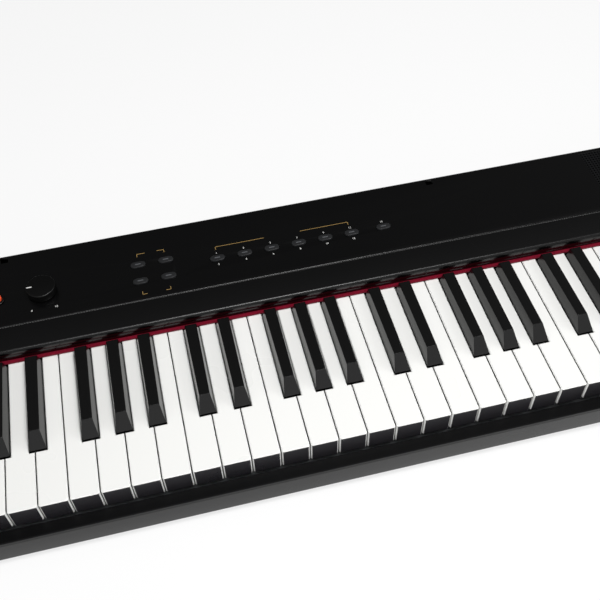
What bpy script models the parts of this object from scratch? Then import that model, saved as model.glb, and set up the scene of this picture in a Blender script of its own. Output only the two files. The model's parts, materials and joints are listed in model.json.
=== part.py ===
"""Slim digital piano with 88 keys, built from separate pieces.

Metres, +X to the treble end, -Y towards the player, +Z up. The origin is the middle of the
footprint on the table. Most places are given by two distances: how far a point lies behind the
front edge of the white keys, and how far above their tops.
"""
import math

import bmesh
import bpy

for old in list(bpy.data.objects):
    bpy.data.objects.remove(old, do_unlink=True)

# Keyboard
WHITE_COUNT = 52
KEY_PITCH = 0.0235
KEY_GAP = 0.0010
KEY_TOP = 0.0550
WHITE_VISIBLE = 0.1402
WHITE_FRONT_HEIGHT = 0.0220
WHITE_EDGE = 0.0007
WHITE_CORNER = 0.0012
KEY_DIP = 0.0100
KEY_WALL = 0.0016
KEY_TOP_WALL = 0.0022
SHARP_FRONT = 0.0490
SHARP_BASE_WIDTH = 0.0136
SHARP_FRONT_TOP_WIDTH = 0.0076
SHARP_REAR_TOP_WIDTH = 0.0090
SHARP_FRONT_RISE = 0.0115
SHARP_REAR_RISE = 0.0095
SHARP_SLOPE = 0.0115
SHARP_EDGE = 0.0006
SHARP_SIDE_GAP = 0.0006
SHARP_FRONT_GAP = 0.0012
SHARP_DEPTH = 0.0180
SHARP_STEM_DROP = 0.0010
SHARP_SHIFT = {"C": -0.0026, "D": 0.0024, "F": -0.0032, "G": 0.0002, "A": 0.0034}
SINGLE_OCTAVES = (4, 5)

# Key pivot, measured from the key fronts and from the key tops
PIVOT_BEHIND = 0.1600
PIVOT_DROP = 0.0125
PIVOT_RADIUS = 0.0025
TAIL_PAST_PIVOT = 0.0060
TAIL_BLOCK = 0.0160
RAIL_WIDTH = 0.0060
TOOTH_WIDTH = 0.0090

# Case
CHEEK_WIDTH = 0.0340
KEY_SETBACK = 0.0135
PANEL_DEPTH = 0.1101
PANEL_RISE = 0.0175
LIP_RISE = 0.0150
LIP_ROUND = 0.0025
LIP_STRIP_DEPTH = 0.0243
LIP_FLANGE_DEPTH = 0.0098
CHEEK_FRONT_RISE = 0.0070
CHEEK_ROUND = 0.0080
REAR_ROUND = 0.0040
BOTTOM_ROUND = 0.0040
CASE_WALL = 0.0025
PANEL_WALL = 0.0028
FLOOR_WALL = 0.0025
PARTING_DROP = 0.0240
CASE_DROP = 0.0490
FOOT_RADIUS = 0.0100
END_BEVEL = 0.0020

# Front rail, felt and trim
FRONT_RAIL_DROP = 0.0200
FRONT_RAIL_DEPTH = 0.0108
FRONT_RAIL_FLANGE = 0.0120
FRONT_RAIL_WALL = 0.0020
FELT_HEIGHT = 0.0030
FELT_PROUD = 0.0022
FELT_DEPTH = 0.0100
TRIM_WIDTH = 0.0012
TRIM_HEIGHT = 0.0009

# Key frame
FRAME_PLATE_DROP = 0.0345
FRAME_WALL = 0.0020
FRAME_DEPTH = 0.1800
GUIDE_LENGTH = 0.0080
GUIDE_BEHIND_FRONT = 0.0220
GUIDE_TIP_DROP = 0.0145

# Controls on the panel
CONTROL_ROW = 0.0572
BUTTON_WIDTH = 0.0140
BUTTON_DEPTH = 0.0070
BUTTON_PROUD = 0.0012
BUTTON_TRAVEL = 0.0010
BUTTON_PITCH = 0.0252
BUTTON_ROW_OFFSET = 0.0099
BUTTON_FLANGE = 0.0010
EFFECT_BUTTONS_X = -0.0850
VOICE_BUTTONS_X = -0.0140
VOICE_BUTTON_COUNT = 6
SPLIT_BUTTON_X = 0.1426
KNOB_X = -0.1706
KNOB_BASE_RADIUS = 0.0142
KNOB_RIM_RADIUS = 0.0130
KNOB_FACE_RADIUS = 0.0120
KNOB_HEIGHT = 0.0078
SHAFT_RADIUS = 0.0030
POWER_X = -0.2104
POWER_RADIUS = 0.0048
POWER_PROUD = 0.0038
POWER_TRAVEL = 0.0015
BEZEL_RADIUS = 0.0072
BEZEL_WALL = 0.0010
BEZEL_HEIGHT = 0.0010
BOARD_WALL = 0.0016
BOARD_STANDOFF = 0.0067
SWITCH_SIZE = 0.0060

# Music rest sockets
REST_SOCKET_X = 0.2027
REST_SOCKET_WIDTH = 0.0064
REST_SOCKET_DEPTH = 0.0062
REST_SOCKET_FROM_REAR = 0.0071

# Speakers and grilles
GRILLE_X = 0.3605
GRILLE_WIDTH = 0.2450
GRILLE_MARGIN = 0.0070
GRILLE_WALL = 0.0012
GRILLE_POCKET = 0.0015
GRILLE_COLUMNS = 28
GRILLE_ROWS = 2
GRILLE_BAR = 0.0045
SPEAKER_LENGTH = 0.1100
SPEAKER_WIDTH = 0.0560
SPEAKER_RIM = 0.0070
SPEAKER_HEIGHT = 0.0240
MAGNET_RADIUS = 0.0150

# Sockets at the rear
SOCKET_PITCH = 0.0300
SOCKET_X = -0.3300
SOCKET_RISE = 0.0130
SOCKET_BODY = 0.0130
SOCKET_LENGTH = 0.0180
SOCKET_BORE = 0.0033
SOCKET_HOLE = 0.0042
SOCKET_DEPTH = 0.0140
MAIN_BOARD_X = 0.0600
MAIN_BOARD_LENGTH = 0.1400
REAR_BOARD_DEPTH = 0.0400
POST_RADIUS = 0.0030
REAR_BOARD_STANDOFF = 0.0045

# Clearances
GAP = 0.0003
SLIDE_GAP = 0.0003

# Values that follow
KEYBOARD_WIDTH = WHITE_COUNT * KEY_PITCH
KEYWELL_WIDTH = KEYBOARD_WIDTH + 0.0015
CASE_WIDTH = KEYWELL_WIDTH + 2 * CHEEK_WIDTH
CASE_DEPTH = KEY_SETBACK + WHITE_VISIBLE + PANEL_DEPTH
LIP_BEHIND = WHITE_VISIBLE
GROOVE_BEHIND = LIP_BEHIND + LIP_STRIP_DEPTH
REAR_BEHIND = LIP_BEHIND + PANEL_DEPTH
LIP_BOTTOM_RISE = GAP + FELT_HEIGHT + GAP
PANEL_UNDER = PANEL_RISE - PANEL_WALL
TAIL_BEHIND = PIVOT_BEHIND + TAIL_PAST_PIVOT
HOLLOW_END = TAIL_BEHIND - TAIL_BLOCK
SHARP_REAR = WHITE_VISIBLE - 0.0047
LIP_SLOPE = (PANEL_RISE - LIP_RISE) / (LIP_STRIP_DEPTH - LIP_ROUND)
CONTROL_BEHIND = LIP_BEHIND + CONTROL_ROW
FLOOR_RISE = FLOOR_WALL - CASE_DROP
BOARD_RISE = PANEL_UNDER - BOARD_STANDOFF


def behind(distance):
    """Y of a point this far behind the white key fronts."""
    return KEY_SETBACK - CASE_DEPTH / 2 + distance


def above(distance):
    """Z of a point this far above the white key tops."""
    return KEY_TOP + distance


def make_material(name, colour, roughness, metallic=0.0):
    material = bpy.data.materials.new(name)
    material.use_nodes = True
    shader = material.node_tree.nodes["Principled BSDF"]
    shader.inputs["Base Color"].default_value = (*colour, 1.0)
    shader.inputs["Roughness"].default_value = roughness
    shader.inputs["Metallic"].default_value = metallic
    return material


CASE_BLACK = make_material("case_black", (0.012, 0.012, 0.013), 0.35)
RAIL_BLACK = make_material("rail_black", (0.008, 0.008, 0.009), 0.40)
KEY_WHITE = make_material("key_white", (0.85, 0.85, 0.83), 0.25)
KEY_BLACK = make_material("key_black", (0.012, 0.012, 0.012), 0.30)
FELT_RED = make_material("felt_red", (0.30, 0.003, 0.018), 0.95)
FRAME_GREY = make_material("frame_grey", (0.25, 0.26, 0.27), 0.50)
BUTTON_GREY = make_material("button_grey", (0.045, 0.045, 0.047), 0.50)
KNOB_BLACK = make_material("knob_black", (0.010, 0.010, 0.010), 0.40)
POWER_ORANGE = make_material("power_orange", (0.75, 0.10, 0.03), 0.40)
GRILLE_BLACK = make_material("grille_black", (0.015, 0.015, 0.016), 0.45, 0.6)
TRIM_BLACK = make_material("trim_black", (0.05, 0.05, 0.05), 0.30)
SPEAKER_BLACK = make_material("speaker_black", (0.02, 0.02, 0.02), 0.70)
BOARD_GREEN = make_material("board_green", (0.02, 0.12, 0.05), 0.45)
FOOT_RUBBER = make_material("foot_rubber", (0.02, 0.02, 0.02), 0.90)


def ring(mesh, points):
    """Vertices at a list of (x, y, z) points."""
    return [mesh.verts.new(point) for point in points]


def bridge(mesh, lower, upper):
    """Side faces between two rings with the same number of vertices."""
    count = len(lower)
    for index in range(count):
        after = (index + 1) % count
        mesh.faces.new((lower[index], lower[after], upper[after], upper[index]))


def stack(mesh, rings):
    """A closed body through a stack of rings, with a face at each end."""
    made = [ring(mesh, points) for points in rings]
    for lower, upper in zip(made, made[1:]):
        bridge(mesh, lower, upper)
    mesh.faces.new(list(reversed(made[0])))
    mesh.faces.new(made[-1])
    return made


def prism_x(mesh, profile, low_x, high_x):
    """A profile of (y, z) points drawn out along X."""
    stack(mesh, [[(x, y, z) for y, z in profile] for x in (low_x, high_x)])


def prism_z(mesh, outline, low_z, high_z):
    """An outline of (x, y) points raised along Z."""
    stack(mesh, [[(x, y, z) for x, y in outline] for z in (low_z, high_z)])


def box(mesh, low, high):
    """A block between two opposite corners."""
    outline = [(low[0], low[1]), (high[0], low[1]), (high[0], high[1]), (low[0], high[1])]
    prism_z(mesh, outline, low[2], high[2])


def arc(centre, radius, start, end, steps):
    """Points on a circle from one angle to another, in degrees, both ends included."""
    points = []
    for step in range(steps + 1):
        angle = math.radians(start + (end - start) * step / steps)
        points.append((centre[0] + radius * math.cos(angle), centre[1] + radius * math.sin(angle)))
    return points


def circle(centre, radius, sides, stretch=1.0):
    """A closed round or oval outline, longer along X by the stretch."""
    points = []
    for side in range(sides):
        angle = 2 * math.pi * (side + 0.5) / sides
        points.append((centre[0] + stretch * radius * math.cos(angle), centre[1] + radius * math.sin(angle)))
    return points


def pill(centre, width, depth, steps=4):
    """An outline with two half-round ends."""
    reach = (width - depth) / 2
    right = arc((centre[0] + reach, centre[1]), depth / 2, -90, 90, steps)
    left = arc((centre[0] - reach, centre[1]), depth / 2, 90, 270, steps)
    return right + left


def turned(mesh, centre, profile, sides, stretch=1.0):
    """A solid turned about a vertical axis from (radius, z) points, bottom to top."""
    stack(mesh, [[(x, y, z) for x, y in circle(centre, radius, sides, stretch)] for radius, z in profile])


def finish(name, mesh, material, smooth_angle=35.0):
    """Turns a finished mesh into a named object with outward faces."""
    bmesh.ops.recalc_face_normals(mesh, faces=mesh.faces)
    data = bpy.data.meshes.new(name)
    mesh.to_mesh(data)
    mesh.free()
    item = bpy.data.objects.new(name, data)
    bpy.context.scene.collection.objects.link(item)
    if material is not None:
        data.materials.append(material)
    data.shade_smooth()
    data.set_sharp_from_angle(angle=math.radians(smooth_angle))
    return item


def cutter(name, mesh):
    """A guide body for a Boolean, hidden from renders."""
    item = finish(name, mesh, None)
    item.hide_render = True
    item.display_type = "WIRE"
    return item


def combine(item, other, operation="DIFFERENCE"):
    """A Boolean with a guide body."""
    modifier = item.modifiers.new(other.name, "BOOLEAN")
    modifier.operation = operation
    modifier.object = other
    modifier.solver = "EXACT"


def set_origin(item, point):
    """Moves an object's origin to a point and leaves its shape where it is."""
    for vertex in item.data.vertices:
        vertex.co = [vertex.co[axis] - point[axis] for axis in range(3)]
    item.location = point


def to_world(profile):
    """(behind, above) pairs as (y, z) points."""
    return [(behind(depth), above(rise)) for depth, rise in profile]


# Outline of the closed case seen from its end

def upper_side_profile():
    """Outer shape of the upper case: cheek, lip strip, panel and rear edge."""
    front = -KEY_SETBACK
    cheek_arc = arc((front + CHEEK_ROUND, CHEEK_FRONT_RISE - CHEEK_ROUND), CHEEK_ROUND, 180, 90, 4)
    rear_arc = arc((REAR_BEHIND - REAR_ROUND, PANEL_RISE - REAR_ROUND), REAR_ROUND, 90, 0, 4)
    lip = [(LIP_BEHIND, LIP_RISE - LIP_ROUND * LIP_SLOPE), (GROOVE_BEHIND, PANEL_RISE)]
    return [(front, -PARTING_DROP), *cheek_arc, *lip, *rear_arc, (REAR_BEHIND, -PARTING_DROP)]


def lower_side_profile():
    """Outer shape of the lower case, with its rounded bottom edges."""
    front = -KEY_SETBACK
    top = -PARTING_DROP - GAP
    rear_arc = arc((REAR_BEHIND - BOTTOM_ROUND, BOTTOM_ROUND - CASE_DROP), BOTTOM_ROUND, 0, -90, 4)
    front_arc = arc((front + BOTTOM_ROUND, BOTTOM_ROUND - CASE_DROP), BOTTOM_ROUND, -90, -180, 4)
    return [(front, top), (REAR_BEHIND, top), *rear_arc, *front_arc]


def shell_prism(profile, seam_rise):
    """The profile across the whole width, its end outlines rounded except at the seam."""
    mesh = bmesh.new()
    prism_x(mesh, to_world(profile), -CASE_WIDTH / 2, CASE_WIDTH / 2)
    seam = above(seam_rise)
    rounded = []
    for edge in mesh.edges:
        first, second = edge.verts
        at_end = abs(first.co.x - second.co.x) < GAP
        on_seam = abs(first.co.z - seam) < GAP and abs(second.co.z - seam) < GAP
        if at_end and not on_seam:
            rounded.append(edge)
    bmesh.ops.bevel(mesh, geom=rounded, offset=END_BEVEL, segments=2, profile=0.5, affect="EDGES")
    bmesh.ops.triangulate(mesh, faces=[face for face in mesh.faces if len(face.verts) == 4])
    return mesh


# Control places, used by the holes, the caps and the boards

def button_places():
    """Name, x and distance behind the key fronts of each pill button."""
    places = []
    for row, word in ((1, "rear"), (-1, "front")):
        for column, side in enumerate(("left", "right")):
            depth = CONTROL_BEHIND + row * BUTTON_ROW_OFFSET
            places.append((f"effect_button_{word}_{side}", EFFECT_BUTTONS_X + column * BUTTON_PITCH, depth))
    for number in range(VOICE_BUTTON_COUNT):
        x = VOICE_BUTTONS_X + number * BUTTON_PITCH
        places.append((f"voice_button_{number + 1}", x, CONTROL_BEHIND))
    places.append(("split_button", SPLIT_BUTTON_X, CONTROL_BEHIND))
    return places


def socket_places():
    """X of each rear socket, with the kind of hole it needs."""
    kinds = ("power", "usb", "phones", "sustain")
    return [(kind, SOCKET_X + number * SOCKET_PITCH) for number, kind in enumerate(kinds)]


GRILLE_FRONT = GROOVE_BEHIND + GRILLE_MARGIN
GRILLE_REAR = REAR_BEHIND - REAR_ROUND - GRILLE_MARGIN / 3
SPEAKER_BEHIND = (FRAME_DEPTH + REAR_BEHIND - CASE_WALL) / 2 + GAP
SPEAKER_X = GRILLE_X + GRILLE_WIDTH / 2
SOCKET_CENTRE_RISE = SOCKET_RISE - CASE_DROP
REAR_BOARD_END = REAR_BEHIND - CASE_WALL - 2 * GAP
REAR_BOARD_TOP = FLOOR_RISE + REAR_BOARD_STANDOFF + GAP + BOARD_WALL


def panel_board_posts():
    """Places of the posts that hold the panel board."""
    left = POWER_X - BEZEL_RADIUS
    right = SPLIT_BUTTON_X + BUTTON_WIDTH
    return [(x, CONTROL_BEHIND + side * BUTTON_ROW_OFFSET) for x in (left, (EFFECT_BUTTONS_X + KNOB_X) / 2, right)
            for side in (-1, 1)]


def rear_board_posts():
    """Places of the posts that hold the socket board and the main board."""
    inset = 2 * POST_RADIUS
    places = []
    spans = ((SOCKET_X - SOCKET_PITCH / 2, SOCKET_X + (len(socket_places()) - 0.5) * SOCKET_PITCH),
             (MAIN_BOARD_X - MAIN_BOARD_LENGTH / 2, MAIN_BOARD_X + MAIN_BOARD_LENGTH / 2))
    for low, high in spans:
        for x in (low + inset, high - inset):
            for depth in (REAR_BOARD_END - REAR_BOARD_DEPTH + inset, REAR_BOARD_END - inset):
                places.append((x, depth))
    return places


def make_upper_case():
    item = finish("upper_case", shell_prism(upper_side_profile(), -PARTING_DROP), CASE_BLACK)

    # The well that the keys stand in, with the rounded lip above it
    far = 0.05
    well_rear = LIP_BEHIND + LIP_FLANGE_DEPTH + CASE_WALL
    lip_arc = arc((LIP_BEHIND + LIP_ROUND, LIP_RISE - LIP_ROUND), LIP_ROUND, 180, 90, 4)
    well = [(-far, -far), (well_rear, -far), (well_rear, LIP_BOTTOM_RISE), (LIP_BEHIND, LIP_BOTTOM_RISE),
            *lip_arc, (lip_arc[-1][0], far), (-far, far)]
    mesh = bmesh.new()
    prism_x(mesh, to_world(well), -KEYWELL_WIDTH / 2, KEYWELL_WIDTH / 2)
    combine(item, cutter("cut_key_well", mesh))

    # The hollow under the panel, with a flange left under the lip
    flange_end = LIP_BEHIND + LIP_FLANGE_DEPTH
    lip_inner = LIP_BEHIND + CASE_WALL
    hollow = [(flange_end, -far), (flange_end, LIP_BOTTOM_RISE + CASE_WALL), (lip_inner, LIP_BOTTOM_RISE + CASE_WALL),
              (lip_inner, LIP_RISE - PANEL_WALL), (GROOVE_BEHIND, PANEL_UNDER),
              (REAR_BEHIND - CASE_WALL - GAP, PANEL_UNDER), (REAR_BEHIND - CASE_WALL, PANEL_UNDER - REAR_ROUND),
              (REAR_BEHIND - CASE_WALL, -far)]
    mesh = bmesh.new()
    prism_x(mesh, to_world(hollow), CASE_WALL - CASE_WIDTH / 2, CASE_WIDTH / 2 - CASE_WALL)
    combine(item, cutter("cut_panel_hollow", mesh))

    # The hollow of each end cheek
    front = CASE_WALL - KEY_SETBACK
    cheek = [(front, -far), (front, CHEEK_FRONT_RISE - CHEEK_ROUND), (front + CHEEK_ROUND / 2, CHEEK_FRONT_RISE - CASE_WALL),
             (LIP_BEHIND - CASE_WALL, LIP_RISE - PANEL_WALL), (LIP_BEHIND - CASE_WALL, -far)]
    mesh = bmesh.new()
    for side in (-1, 1):
        inner = side * (KEYWELL_WIDTH / 2 + CASE_WALL)
        outer = side * (CASE_WIDTH / 2 - CASE_WALL)
        prism_x(mesh, to_world(cheek), min(inner, outer), max(inner, outer))
    combine(item, cutter("cut_cheek_hollows", mesh))

    # Groove for the trim strip
    depth = TRIM_HEIGHT + 2 * GAP
    mesh = bmesh.new()
    box(mesh, (-CASE_WIDTH, behind(GROOVE_BEHIND), above(PANEL_RISE - depth)),
        (CASE_WIDTH, behind(GROOVE_BEHIND + TRIM_WIDTH + 2 * GAP), above(PANEL_RISE + far)))
    combine(item, cutter("cut_trim_groove", mesh))

    # Pocket for each grille, then an oval hole over each speaker
    pocket_mesh = bmesh.new()
    hole_mesh = bmesh.new()
    for side in (-1, 1):
        inner = side * (GRILLE_X - GAP)
        outer = side * (GRILLE_X + GRILLE_WIDTH + GAP)
        box(pocket_mesh, (min(inner, outer), behind(GRILLE_FRONT - GAP), above(PANEL_RISE - GRILLE_POCKET)),
            (max(inner, outer), behind(GRILLE_REAR + GAP), above(PANEL_RISE + far)))
        radius = SPEAKER_WIDTH / 2 - SPEAKER_RIM
        stretch = (SPEAKER_LENGTH / 2 - SPEAKER_RIM) / radius
        oval = circle((side * SPEAKER_X, behind(SPEAKER_BEHIND)), radius, 20, stretch)
        prism_z(hole_mesh, oval, above(0.0), above(PANEL_RISE + far))
    combine(item, cutter("cut_grille_pockets", pocket_mesh))
    combine(item, cutter("cut_speaker_holes", hole_mesh))

    # Holes for the controls and the music rest
    mesh = bmesh.new()
    low, high = above(0.0), above(PANEL_RISE + far)
    for _, x, depth in button_places():
        outline = pill((x, behind(depth)), BUTTON_WIDTH + 2 * SLIDE_GAP, BUTTON_DEPTH + 2 * SLIDE_GAP)
        prism_z(mesh, outline, low, high)
    prism_z(mesh, circle((KNOB_X, behind(CONTROL_BEHIND)), SHAFT_RADIUS + SLIDE_GAP, 12), low, high)
    bezel_sleeve = POWER_RADIUS + SLIDE_GAP + BEZEL_WALL
    prism_z(mesh, circle((POWER_X, behind(CONTROL_BEHIND)), bezel_sleeve + GAP, 20), low, high)
    for side in (-1, 1):
        x = side * REST_SOCKET_X
        y = behind(REAR_BEHIND - REST_SOCKET_FROM_REAR)
        box(mesh, (x - REST_SOCKET_WIDTH / 2, y - REST_SOCKET_DEPTH / 2, low),
            (x + REST_SOCKET_WIDTH / 2, y + REST_SOCKET_DEPTH / 2, high))
    combine(item, cutter("cut_panel_holes", mesh))

    # Posts down to the panel board
    mesh = bmesh.new()
    for x, depth in panel_board_posts():
        prism_z(mesh, circle((x, behind(depth)), POST_RADIUS, 8), above(BOARD_RISE + GAP),
                above(PANEL_RISE - PANEL_WALL / 2))
    combine(item, cutter("add_panel_posts", mesh), "UNION")


def make_lower_case():
    item = finish("lower_case", shell_prism(lower_side_profile(), -PARTING_DROP - GAP), CASE_BLACK)
    mesh = bmesh.new()
    box(mesh, (CASE_WALL - CASE_WIDTH / 2, behind(CASE_WALL - KEY_SETBACK), above(FLOOR_RISE)),
        (CASE_WIDTH / 2 - CASE_WALL, behind(REAR_BEHIND - CASE_WALL), above(0.0)))
    combine(item, cutter("cut_case_hollow", mesh))

    # Socket holes through the rear wall
    mesh = bmesh.new()
    low, high = behind(REAR_BEHIND - 2 * CASE_WALL), behind(REAR_BEHIND + CASE_WALL)
    for kind, x in socket_places():
        sides = 4 if kind == "usb" else 16
        outline = circle((x, above(SOCKET_CENTRE_RISE)), SOCKET_HOLE * (math.sqrt(2) if sides == 4 else 1.0), sides)
        stack(mesh, [[(px, y, pz) for px, pz in outline] for y in (low, high)])
    combine(item, cutter("cut_socket_holes", mesh))

    # Posts up to the rear boards
    mesh = bmesh.new()
    for x, depth in rear_board_posts():
        prism_z(mesh, circle((x, behind(depth)), POST_RADIUS, 8), above(FLOOR_RISE - FLOOR_WALL / 2),
                above(FLOOR_RISE + REAR_BOARD_STANDOFF))
    combine(item, cutter("add_board_posts", mesh), "UNION")


def make_front_rail():
    """The key slip, an L-shaped strip on the front wall of the lower case."""
    front = -KEY_SETBACK
    rear = front + FRONT_RAIL_DEPTH
    top = -FRONT_RAIL_DROP
    chamfer = 0.0008
    profile = [(front, -PARTING_DROP), (front, top - chamfer), (front + chamfer, top), (rear - chamfer, top),
               (rear, top - chamfer), (rear, top - FRONT_RAIL_FLANGE), (rear - FRONT_RAIL_WALL, top - FRONT_RAIL_FLANGE),
               (rear - FRONT_RAIL_WALL, top - FRONT_RAIL_WALL), (front + FRONT_RAIL_WALL, top - FRONT_RAIL_WALL),
               (front + FRONT_RAIL_WALL, -PARTING_DROP)]
    mesh = bmesh.new()
    prism_x(mesh, to_world(profile), GAP - KEYWELL_WIDTH / 2, KEYWELL_WIDTH / 2 - GAP)
    finish("front_rail", mesh, RAIL_BLACK)


def make_felt_strip():
    """Red felt glued under the lip, just over the white keys."""
    front = LIP_BEHIND - FELT_PROUD
    low, high = GAP, GAP + FELT_HEIGHT
    soft = FELT_HEIGHT / 4
    profile = [(front + soft, low), (front + FELT_DEPTH, low), (front + FELT_DEPTH, high), (front + soft, high),
               (front, high - soft), (front, low + soft)]
    mesh = bmesh.new()
    prism_x(mesh, to_world(profile), GAP - KEYWELL_WIDTH / 2, KEYWELL_WIDTH / 2 - GAP)
    finish("felt_strip", mesh, FELT_RED)


def make_trim_strip():
    """The narrow strip in the groove between lip strip and panel."""
    front = GROOVE_BEHIND + GAP
    low = PANEL_RISE - TRIM_HEIGHT - GAP
    profile = [(front, low), (front + TRIM_WIDTH, low), (front + TRIM_WIDTH, low + 0.6 * TRIM_HEIGHT),
               (front + TRIM_WIDTH / 2, low + TRIM_HEIGHT), (front, low + 0.6 * TRIM_HEIGHT)]
    mesh = bmesh.new()
    end = CASE_WIDTH / 2 - END_BEVEL
    prism_x(mesh, to_world(profile), -end, end)
    finish("trim_strip", mesh, TRIM_BLACK)


def make_grille(name, side):
    """A perforated plate that lies in its pocket in the panel."""
    low_x, high_x = sorted((side * GRILLE_X, side * (GRILLE_X + GRILLE_WIDTH)))
    top = PANEL_RISE - GAP / 2
    mesh = bmesh.new()
    box(mesh, (low_x, behind(GRILLE_FRONT), above(top - GRILLE_WALL)), (high_x, behind(GRILLE_REAR), above(top)))
    item = finish(name, mesh, GRILLE_BLACK)
    margin = GRILLE_BAR
    pitch_x = (GRILLE_WIDTH - 2 * margin) / GRILLE_COLUMNS
    pitch_y = (GRILLE_REAR - GRILLE_FRONT - 2 * margin) / GRILLE_ROWS
    mesh = bmesh.new()
    for column in range(GRILLE_COLUMNS):
        for row in range(GRILLE_ROWS):
            x = low_x + margin + column * pitch_x
            y = behind(GRILLE_FRONT + margin + row * pitch_y)
            box(mesh, (x + GRILLE_BAR / 2, y + GRILLE_BAR / 2, above(top - 2 * GRILLE_WALL)),
                (x + pitch_x - GRILLE_BAR / 2, y + pitch_y - GRILLE_BAR / 2, above(top + GRILLE_WALL)))
    combine(item, cutter(f"cut_{name}", mesh))


def make_speaker(name, side):
    """An oval speaker: rim, basket, magnet and a dished cone, open at the front."""
    top = PANEL_UNDER - GAP
    stretch = SPEAKER_LENGTH / SPEAKER_WIDTH
    rim = SPEAKER_WIDTH / 2
    centre = (side * SPEAKER_X, behind(SPEAKER_BEHIND))
    steps = (
        (MAGNET_RADIUS / stretch, top - SPEAKER_HEIGHT),
        (MAGNET_RADIUS / stretch, top - SPEAKER_HEIGHT + 0.0090),
        (rim - SPEAKER_RIM, top - 0.0050),
        (rim - SPEAKER_RIM / 2, top - 0.0018),
        (rim, top - 0.0015),
        (rim, top),
        (rim - SPEAKER_RIM * 0.8, top),
        (rim - SPEAKER_RIM, top - 0.0012),
        (rim - SPEAKER_RIM * 1.4, top - 0.0022),
        (0.0080, top - 0.0120),
        (0.0050, top - 0.0085),
    )
    mesh = bmesh.new()
    turned(mesh, centre, [(radius, above(rise)) for radius, rise in steps], 24, stretch)
    finish(name, mesh, SPEAKER_BLACK)


# Keys

def white_name(index):
    """Letter and octave of a white key, counted from the lowest."""
    return "ABCDEFG"[index % 7], (index + 5) // 7


def white_left(index):
    """X of the line between a white key and its lower neighbour."""
    return (index - WHITE_COUNT / 2) * KEY_PITCH


def has_sharp(index):
    """True where a black key stands at the upper edge of this white key."""
    return 0 <= index < WHITE_COUNT - 1 and white_name(index)[0] in SHARP_SHIFT


def sharp_centre(index):
    """X of the black key at the upper edge of a white key."""
    return white_left(index + 1) + SHARP_SHIFT[white_name(index)[0]]


def white_outline(index, inset, tail):
    """Plan of a white key, cut away beside its black neighbours."""
    reach = SHARP_BASE_WIDTH / 2 + SHARP_SIDE_GAP
    left = white_left(index) + KEY_GAP / 2 + inset
    right = white_left(index + 1) - KEY_GAP / 2 - inset
    corner = WHITE_CORNER
    front = behind(inset)
    notch = behind(SHARP_FRONT - SHARP_FRONT_GAP - inset)
    points = [(left + corner, front), (right - corner, front), (right, front + corner)]
    if has_sharp(index):
        narrow = sharp_centre(index) - reach - inset
        points += [(right, notch), (narrow, notch), (narrow, behind(tail - inset))]
    else:
        points += [(right, behind(tail - inset))]
    if has_sharp(index - 1):
        narrow = sharp_centre(index - 1) + reach + inset
        points += [(narrow, behind(tail - inset)), (narrow, notch), (left, notch)]
    else:
        points += [(left, behind(tail - inset))]
    points += [(left, front + corner)]
    return points


def underside(front_drop, y):
    """Z of a key's lower edge, which climbs from the front to the tail."""
    share = (y - behind(0.0)) / TAIL_BEHIND
    return above(-front_drop + (front_drop - PIVOT_DROP) * share)


def add_white_key(mesh, index, hollow):
    """One white key. A hollow one is open below, with a solid block at its tail."""
    outer = white_outline(index, 0.0, TAIL_BEHIND)
    face = white_outline(index, WHITE_EDGE, TAIL_BEHIND)
    bottom = ring(mesh, [(x, y, underside(WHITE_FRONT_HEIGHT, y)) for x, y in outer])
    edge = ring(mesh, [(x, y, above(-WHITE_EDGE)) for x, y in outer])
    top = ring(mesh, [(x, y, above(0.0)) for x, y in face])
    bridge(mesh, bottom, edge)
    bridge(mesh, edge, top)
    mesh.faces.new(top)
    close_below(mesh, bottom, white_outline(index, KEY_WALL, HOLLOW_END + KEY_WALL), WHITE_FRONT_HEIGHT,
                -KEY_TOP_WALL, hollow)


def close_below(mesh, bottom, inner, front_drop, roof_rise, hollow):
    """Closes a key's lower side, flat or with a hollow inside its walls."""
    if not hollow:
        mesh.faces.new(list(reversed(bottom)))
        return
    rim = ring(mesh, [(x, y, underside(front_drop, y)) for x, y in inner])
    roof = ring(mesh, [(x, y, above(roof_rise)) for x, y in inner])
    bridge(mesh, rim, bottom)
    bridge(mesh, roof, rim)
    mesh.faces.new(list(reversed(roof)))


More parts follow.
